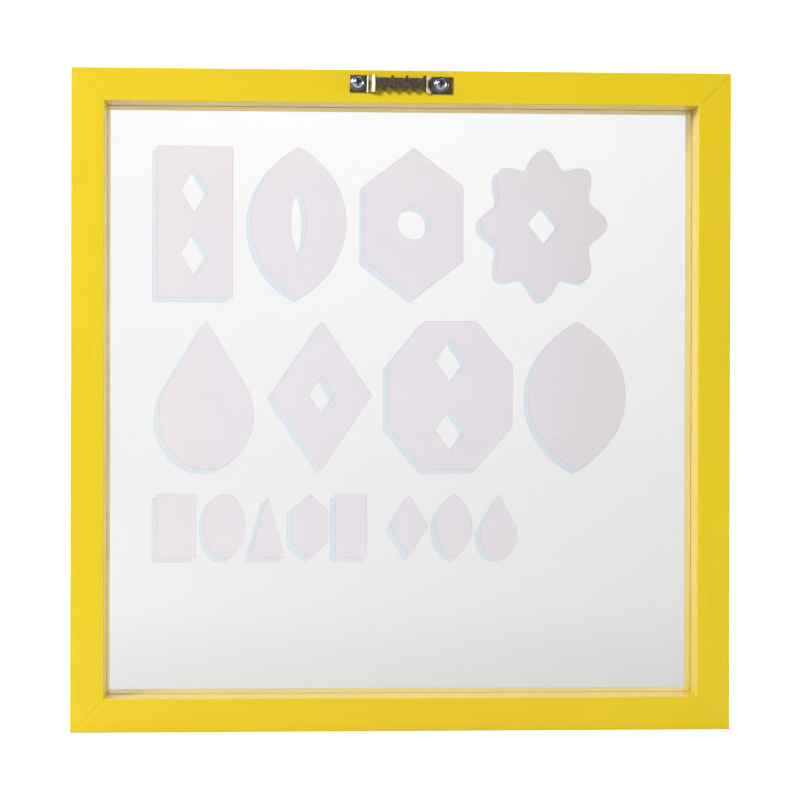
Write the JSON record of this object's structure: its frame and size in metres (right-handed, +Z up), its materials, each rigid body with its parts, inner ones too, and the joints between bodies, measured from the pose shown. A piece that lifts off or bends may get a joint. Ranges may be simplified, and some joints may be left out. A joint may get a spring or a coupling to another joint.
{
  "type": "picture frame",
  "caption": "Square mitred wooden frame, deep and narrow, with a glass pane held in a mid-depth groove for a print on glass, and a sawtooth hanger screwed to the back of its top rail.",
  "frame": {"origin": "centre of the bounding box's bottom face: the frame stands on its bottom rail, and the box runs from the hanger screws' heads to the front face", "axes": "+Z up when hung or stood; +Y out of the printed front; -Y out of the back, towards the wall; +X to the right as seen from behind"},
  "size_m": [0.3, 0.0376, 0.3],
  "materials": {
    "yellow_wood": "satin yellow lacquer over wood",
    "clear_glass": "clear float glass with seamed edges, printed on the front in two pale inks",
    "plated_hanger": "bright nickel and brass toned plating on pressed steel",
    "zinc_screw": "blue-passivated zinc plating",
    "brad_steel": "bright drawn wire"
  },
  "bodies": {
    "root": {"top_rail": "yellow_wood", "bottom_rail": "yellow_wood", "left_stile": "yellow_wood", "right_stile": "yellow_wood", "glass_pane": "clear_glass", "sawtooth_hanger": "plated_hanger", "hanger_screw_left": "zinc_screw", "hanger_screw_right": "zinc_screw", "brad_top_left_back": "brad_steel", "brad_top_left_front": "brad_steel", "brad_top_right_back": "brad_steel", "brad_top_right_front": "brad_steel", "brad_bottom_left_back": "brad_steel", "brad_bottom_left_front": "brad_steel", "brad_bottom_right_back": "brad_steel", "brad_bottom_right_front": "brad_steel"}
  },
  "joints": []
}
